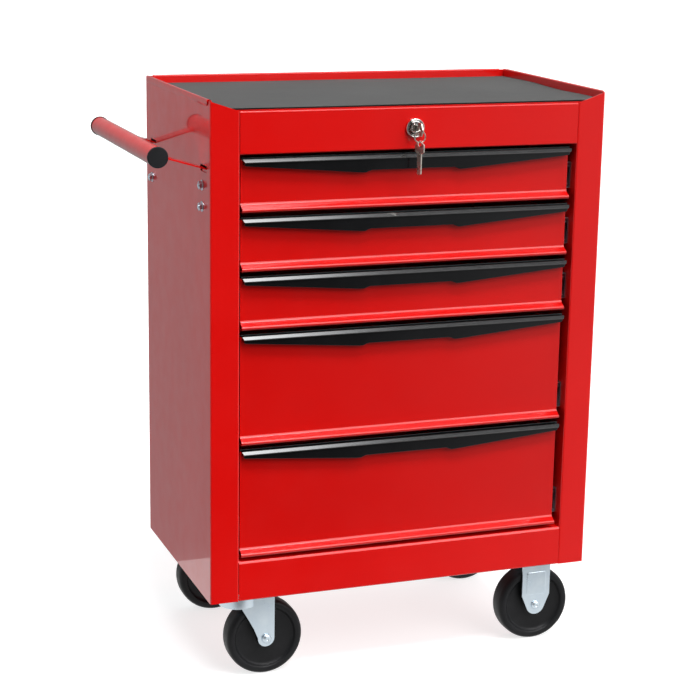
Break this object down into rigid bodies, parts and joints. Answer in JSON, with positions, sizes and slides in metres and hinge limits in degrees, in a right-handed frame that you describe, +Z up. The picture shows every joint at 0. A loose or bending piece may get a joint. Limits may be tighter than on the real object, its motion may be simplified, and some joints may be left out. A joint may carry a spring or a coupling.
{
  "type": "tool cart",
  "caption": "Rolling steel tool cabinet with full-width drawers, a matted top tray, a side push handle, a keyed lock and plate casters.",
  "frame": {"origin": "centre of the bounding box's underside, on the floor", "axes": "+X to the right of someone facing the drawers, -Y the way the drawers open, +Z up"},
  "size_m": [0.645, 0.3594, 0.8015],
  "materials": {
    "red_paint": "glossy red powder coat on folded sheet steel",
    "black_plastic": "satin-gloss black moulded plastic",
    "rubber_mat": "dark grey ribbed-fine rubber mat",
    "zinc_plate": "bright zinc plate",
    "chrome_plate": "nickel-chrome plate",
    "wheel_black": "solid black moulded polypropylene, satin side face"
  },
  "bodies": {
    "cabinet": {"left_side_panel": "red_paint", "right_side_panel": "red_paint", "back_panel": "red_paint", "top_tray": "red_paint", "top_mat": "rubber_mat", "top_rail": "red_paint", "bottom_rail": "red_paint", "bottom_panel": "red_paint", "left_slide_rack": "zinc_plate", "right_slide_rack": "zinc_plate", "lock_housing": "chrome_plate", "handle_tube": "red_paint", "handle_cap_front": "black_plastic", "handle_cap_rear": "black_plastic", "handle_bracket_front": "red_paint", "handle_bracket_rear": "red_paint", "front_left_caster_plate": "zinc_plate", "rear_left_caster_plate": "zinc_plate", "front_right_fork": "zinc_plate", "front_right_axle": "zinc_plate", "rear_right_fork": "zinc_plate", "rear_right_axle": "zinc_plate"},
    "drawer_1": {"drawer_1_tray": "red_paint", "drawer_1_front": "red_paint", "drawer_1_pull": "black_plastic", "drawer_1_slide_left": "zinc_plate", "drawer_1_slide_right": "zinc_plate"},
    "drawer_2": {"drawer_2_tray": "red_paint", "drawer_2_front": "red_paint", "drawer_2_pull": "black_plastic", "drawer_2_slide_left": "zinc_plate", "drawer_2_slide_right": "zinc_plate"},
    "drawer_3": {"drawer_3_tray": "red_paint", "drawer_3_front": "red_paint", "drawer_3_pull": "black_plastic", "drawer_3_slide_left": "zinc_plate", "drawer_3_slide_right": "zinc_plate"},
    "drawer_4": {"drawer_4_tray": "red_paint", "drawer_4_front": "red_paint", "drawer_4_pull": "black_plastic", "drawer_4_slide_left": "zinc_plate", "drawer_4_slide_right": "zinc_plate"},
    "drawer_5": {"drawer_5_tray": "red_paint", "drawer_5_front": "red_paint", "drawer_5_pull": "black_plastic", "drawer_5_slide_left": "zinc_plate", "drawer_5_slide_right": "zinc_plate"},
    "front_left_swivel": {"front_left_fork": "zinc_plate", "front_left_axle": "zinc_plate"},
    "front_left_wheel": {"front_left_wheel": "wheel_black"},
    "rear_left_swivel": {"rear_left_fork": "zinc_plate", "rear_left_axle": "zinc_plate"},
    "rear_left_wheel": {"rear_left_wheel": "wheel_black"},
    "front_right_wheel": {"front_right_wheel": "wheel_black"},
    "rear_right_wheel": {"rear_right_wheel": "wheel_black"},
    "lock_plug": {"lock_plug": "chrome_plate", "lock_cam": "zinc_plate"},
    "key": {"key": "chrome_plate"},
    "key_ring": {"key_ring": "chrome_plate"},
    "spare_key": {"spare_key": "chrome_plate"}
  },
  "joints": [
    {"name": "drawer_1_slide", "type": "slide", "parent": "cabinet", "child": "drawer_1", "axis": [0, -1, 0], "range_m": [0, 0.228]},
    {"name": "drawer_2_slide", "type": "slide", "parent": "cabinet", "child": "drawer_2", "axis": [0, -1, 0], "range_m": [0, 0.228]},
    {"name": "drawer_3_slide", "type": "slide", "parent": "cabinet", "child": "drawer_3", "axis": [0, -1, 0], "range_m": [0, 0.228]},
    {"name": "drawer_4_slide", "type": "slide", "parent": "cabinet", "child": "drawer_4", "axis": [0, -1, 0], "range_m": [0, 0.228]},
    {"name": "drawer_5_slide", "type": "slide", "parent": "cabinet", "child": "drawer_5", "axis": [0, -1, 0], "range_m": [0, 0.228]},
    {"name": "front_left_caster_swivel", "type": "hinge", "parent": "cabinet", "child": "front_left_swivel", "pos_m": [-0.189, -0.11025, 0.1155], "axis": [0, 0, 1], "continuous": true},
    {"name": "front_left_wheel_roll", "type": "hinge", "parent": "front_left_swivel", "child": "front_left_wheel", "pos_m": [-0.153, -0.11025, 0.0545], "axis": [0, 1, 0], "continuous": true},
    {"name": "rear_left_caster_swivel", "type": "hinge", "parent": "cabinet", "child": "rear_left_swivel", "pos_m": [-0.189, 0.13975, 0.1155], "axis": [0, 0, 1], "continuous": true},
    {"name": "rear_left_wheel_roll", "type": "hinge", "parent": "rear_left_swivel", "child": "rear_left_wheel", "pos_m": [-0.153, 0.13975, 0.0545], "axis": [0, 1, 0], "continuous": true},
    {"name": "front_right_wheel_roll", "type": "hinge", "parent": "cabinet", "child": "front_right_wheel", "pos_m": [0.258, -0.11025, 0.0545], "axis": [0, 1, 0], "continuous": true},
    {"name": "rear_right_wheel_roll", "type": "hinge", "parent": "cabinet", "child": "rear_right_wheel", "pos_m": [0.258, 0.13975, 0.0545], "axis": [0, 1, 0], "continuous": true},
    {"name": "lock_turn", "type": "hinge", "parent": "cabinet", "child": "lock_plug", "pos_m": [0.041, -0.15025, 0.759], "axis": [0, 1, 0], "range_deg": [0, 90]},
    {"name": "key_pull", "type": "slide", "parent": "lock_plug", "child": "key", "axis": [0, -1, 0], "range_m": [0, 0.024]},
    {"name": "key_ring_swing", "type": "hinge", "parent": "key", "child": "key_ring", "pos_m": [0.041, -0.16975, 0.75695], "axis": [1, 0, 0], "range_deg": [-45, 5]},
    {"name": "spare_key_swing", "type": "hinge", "parent": "key_ring", "child": "spare_key", "pos_m": [0.041, -0.16975, 0.74175], "axis": [1, 0, 0], "range_deg": [-20, 6]}
  ]
}
